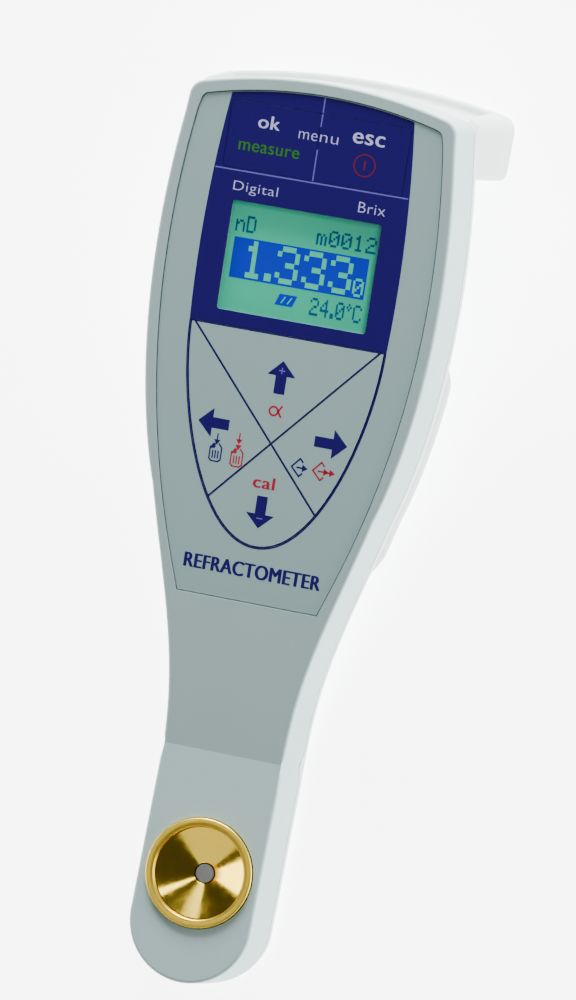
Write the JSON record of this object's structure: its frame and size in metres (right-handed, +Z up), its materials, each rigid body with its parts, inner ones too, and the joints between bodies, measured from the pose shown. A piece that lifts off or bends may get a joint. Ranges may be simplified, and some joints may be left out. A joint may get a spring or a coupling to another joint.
{
  "type": "digital refractometer",
  "caption": "Hand-held digital refractometer with a keypad body tapering to a gold sample cell, a display and a deep rear foot.",
  "frame": {"origin": "middle of the footprint, on the surface that the instrument lies on", "axes": "+Y from the sample cell to the display end, +Z up out of the keypad side, +X to the right of someone reading the display"},
  "size_m": [0.0804, 0.2352, 0.0424],
  "materials": {
    "shell_grey": "moulded ABS, fine satin grain, cool grey-green",
    "shell_white": "moulded ABS, fine satin grain, near white",
    "overlay_grey": "textured polyester keypad film, grey-green",
    "navy_field": "textured polyester keypad film, printed navy",
    "clear_plastic": "clear acrylic, polished",
    "lcd_teal": "liquid crystal glass over a teal filter",
    "gold": "turned and gold plated, polished",
    "sapphire": "polished sapphire, looks grey over the dark optics",
    "steel": "bright steel",
    "circuit_board": "green solder mask",
    "black_plastic": "black moulded plastic",
    "rubber": "black silicone rubber",
    "amber_resin": "amber lamp resin",
    "cell_jacket": null,
    "ribbon": "amber polyimide ribbon"
  },
  "bodies": {
    "case": {"front_shell": "shell_grey", "rear_shell": "shell_white", "lcd_backlight": "shell_white", "keypad_overlay": "overlay_grey", "display_window": "clear_plastic", "focus_lens": "clear_plastic", "lcd_panel": "lcd_teal", "cell_dish": "gold", "prism": "sapphire", "case_screw_1": "steel", "case_screw_2": "steel", "case_screw_3": "steel", "case_screw_4": "steel", "line_sensor": "steel", "temperature_sensor": "steel", "contact_plus_1": "steel", "contact_plus_2": "steel", "contact_minus_1": "steel", "contact_minus_2": "steel", "contact_spring_1": "steel", "contact_spring_2": "steel", "dome_ok": "steel", "dome_esc": "steel", "dome_up": "steel", "dome_left": "steel", "dome_right": "steel", "dome_down": "steel", "main_board": "circuit_board", "sensor_board": "circuit_board", "processor": "black_plastic", "sounder": "black_plastic", "optics_block": "black_plastic", "case_gasket": "rubber", "prism_seal": "rubber", "light_source": "amber_resin", "battery_1": "cell_jacket", "battery_2": "cell_jacket", "flex_cable": "ribbon"},
    "key_ok": {"key_ok": "navy_field"},
    "key_esc": {"key_esc": "navy_field"},
    "key_up": {"key_up": "overlay_grey"},
    "key_left": {"key_left": "overlay_grey"},
    "key_right": {"key_right": "overlay_grey"},
    "key_down": {"key_down": "overlay_grey"},
    "battery_door": {"battery_door": "shell_white", "door_screw": "steel"}
  },
  "joints": [
    {"name": "key_ok_press", "type": "slide", "parent": "case", "child": "key_ok", "axis": [0, 0.1478, -0.989], "range_m": [0, 0.0004], "stiffness_N_per_m": 1500},
    {"name": "key_esc_press", "type": "slide", "parent": "case", "child": "key_esc", "axis": [0, 0.1478, -0.989], "range_m": [0, 0.0004], "stiffness_N_per_m": 1500},
    {"name": "key_up_press", "type": "slide", "parent": "case", "child": "key_up", "axis": [0, 0.1478, -0.989], "range_m": [0, 0.0004], "stiffness_N_per_m": 1500},
    {"name": "key_left_press", "type": "slide", "parent": "case", "child": "key_left", "axis": [0, 0.1478, -0.989], "range_m": [0, 0.0004], "stiffness_N_per_m": 1500},
    {"name": "key_right_press", "type": "slide", "parent": "case", "child": "key_right", "axis": [0, 0.1478, -0.989], "range_m": [0, 0.0004], "stiffness_N_per_m": 1500},
    {"name": "key_down_press", "type": "slide", "parent": "case", "child": "key_down", "axis": [0, 0.1478, -0.989], "range_m": [0, 0.0004], "stiffness_N_per_m": 1500},
    {"name": "battery_door_lift", "type": "slide", "parent": "case", "child": "battery_door", "axis": [0, 0.1478, -0.989], "range_m": [0, 0.03]}
  ]
}
